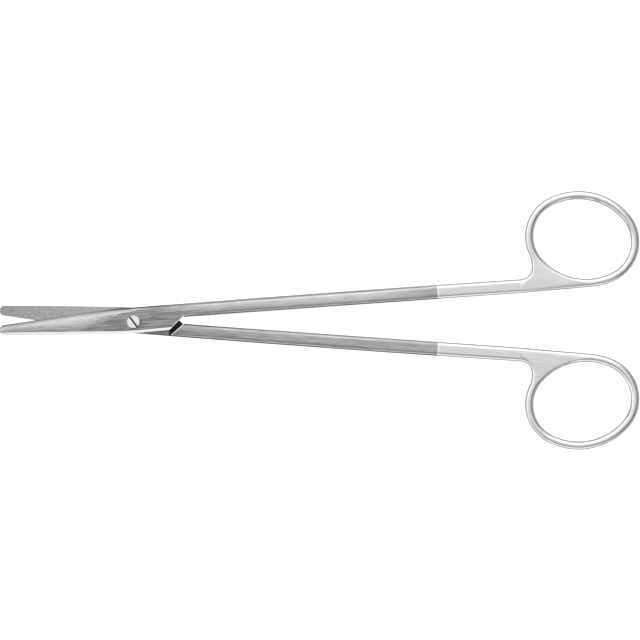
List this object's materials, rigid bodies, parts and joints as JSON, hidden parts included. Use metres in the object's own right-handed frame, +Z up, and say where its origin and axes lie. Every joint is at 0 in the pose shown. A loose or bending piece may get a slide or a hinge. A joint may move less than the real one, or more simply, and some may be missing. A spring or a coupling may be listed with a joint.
{
  "type": "dissecting scissors",
  "caption": "Slim curved dissecting scissors with a slotted screw joint, hard cutting strips and two finger rings, slightly open.",
  "frame": {"origin": "on the pivot screw's axis, on the flat ground underside of the joint that the scissors rest on", "axes": "+X from the pivot towards the finger rings along the middle between the shanks, +Y towards the upper half's ring, +Z up along the pivot axis, the way the blade tips curve"},
  "size_m": [0.1762, 0.0713, 0.0078],
  "materials": {
    "satin_steel": "satin brushed lengthwise, brighter plated finger rings",
    "cutting_strip": "fine ground hard metal",
    "screw_steel": "fine matt, slotted"
  },
  "bodies": {
    "lower_half": {"far_half": "satin_steel", "far_cutting_insert": "cutting_strip", "pivot_screw": "screw_steel"},
    "upper_half": {"near_half": "satin_steel", "near_cutting_insert": "cutting_strip"}
  },
  "joints": [
    {"name": "opening", "type": "hinge", "parent": "lower_half", "child": "upper_half", "pos_m": [0, 0, 0.00195], "axis": [0, 0, 1], "range_deg": [-7.4, 60]}
  ]
}
